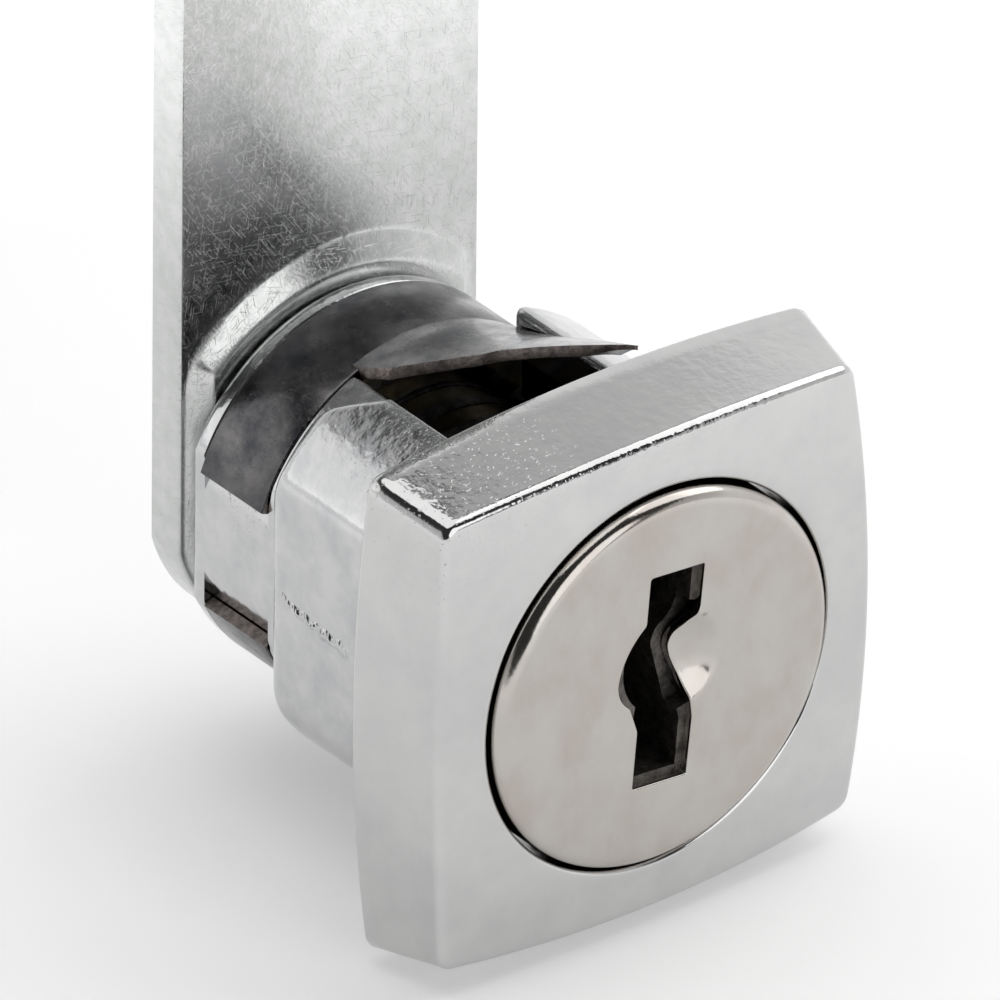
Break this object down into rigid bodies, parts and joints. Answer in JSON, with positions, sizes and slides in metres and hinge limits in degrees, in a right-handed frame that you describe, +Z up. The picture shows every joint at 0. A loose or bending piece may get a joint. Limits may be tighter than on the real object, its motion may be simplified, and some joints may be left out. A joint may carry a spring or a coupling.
{
  "type": "cam lock",
  "caption": "Snap-in cam lock with a cushion-square bezel, wafer plug, spring clip and a straight cam that turns a quarter turn.",
  "frame": {"origin": "on the plug's axis, in the bezel's back face, which lies on the panel", "axes": "+Y along the plug's axis, from the front to the rear; +Z up, the way the cam points at rest; the bezel looks along -Y"},
  "size_m": [0.0222, 0.0251, 0.0441],
  "materials": {
    "chromed_zinc": "bright chrome plating on a zinc casting",
    "cast_zinc": "bare die-cast zinc, dull grey",
    "stainless_cap": "fine brushed stainless sheet",
    "spring_steel": "dark oiled spring steel",
    "brass_wafer": "stamped brass",
    "spring_wire": "bright wire",
    "plated_steel": "zinc-plated mild steel",
    "plated_fastener": "zinc-plated steel fastener"
  },
  "bodies": {
    "housing": {"housing": "chromed_zinc", "spring_clip": "spring_steel"},
    "plug": {"plug": "cast_zinc", "face_cap": "stainless_cap", "wafer_spring_1": "spring_wire", "wafer_spring_2": "spring_wire", "wafer_spring_3": "spring_wire", "wafer_spring_4": "spring_wire", "wafer_spring_5": "spring_wire", "wafer_spring_6": "spring_wire", "retaining_spring": "spring_wire", "cam": "plated_steel", "lock_washer": "plated_fastener", "cam_screw": "plated_fastener"},
    "wafer_1": {"wafer_1": "brass_wafer"},
    "wafer_2": {"wafer_2": "brass_wafer"},
    "wafer_3": {"wafer_3": "brass_wafer"},
    "wafer_4": {"wafer_4": "brass_wafer"},
    "wafer_5": {"wafer_5": "brass_wafer"},
    "wafer_6": {"wafer_6": "brass_wafer"},
    "retaining_wafer": {"retaining_wafer": "brass_wafer"}
  },
  "joints": [
    {"name": "plug_turn", "type": "hinge", "parent": "housing", "child": "plug", "pos_m": [0, 0, 0], "axis": [0, 1, 0], "range_deg": [0, 90]},
    {"name": "wafer_1_slide", "type": "slide", "parent": "plug", "child": "wafer_1", "axis": [0.0889, 0, 0.996], "range_m": [0, 0.0007], "stiffness_N_per_m": 150, "springref_m": 0.002, "deforming": ["wafer_spring_1"]},
    {"name": "wafer_2_slide", "type": "slide", "parent": "plug", "child": "wafer_2", "axis": [-0.0889, 0, -0.996], "range_m": [0, 0.0007], "stiffness_N_per_m": 150, "springref_m": 0.002, "deforming": ["wafer_spring_2"]},
    {"name": "wafer_3_slide", "type": "slide", "parent": "plug", "child": "wafer_3", "axis": [0.0889, 0, 0.996], "range_m": [0, 0.0007], "stiffness_N_per_m": 150, "springref_m": 0.002, "deforming": ["wafer_spring_3"]},
    {"name": "wafer_4_slide", "type": "slide", "parent": "plug", "child": "wafer_4", "axis": [-0.0889, 0, -0.996], "range_m": [0, 0.0007], "stiffness_N_per_m": 150, "springref_m": 0.002, "deforming": ["wafer_spring_4"]},
    {"name": "wafer_5_slide", "type": "slide", "parent": "plug", "child": "wafer_5", "axis": [0.0889, 0, 0.996], "range_m": [0, 0.0007], "stiffness_N_per_m": 150, "springref_m": 0.002, "deforming": ["wafer_spring_5"]},
    {"name": "wafer_6_slide", "type": "slide", "parent": "plug", "child": "wafer_6", "axis": [-0.0889, 0, -0.996], "range_m": [0, 0.0007], "stiffness_N_per_m": 150, "springref_m": 0.002, "deforming": ["wafer_spring_6"]},
    {"name": "retaining_wafer_slide", "type": "slide", "parent": "plug", "child": "retaining_wafer", "axis": [0.0889, 0, 0.996], "range_m": [-0.00075, 0], "stiffness_N_per_m": 150, "springref_m": 0.001, "deforming": ["retaining_spring"]}
  ]
}
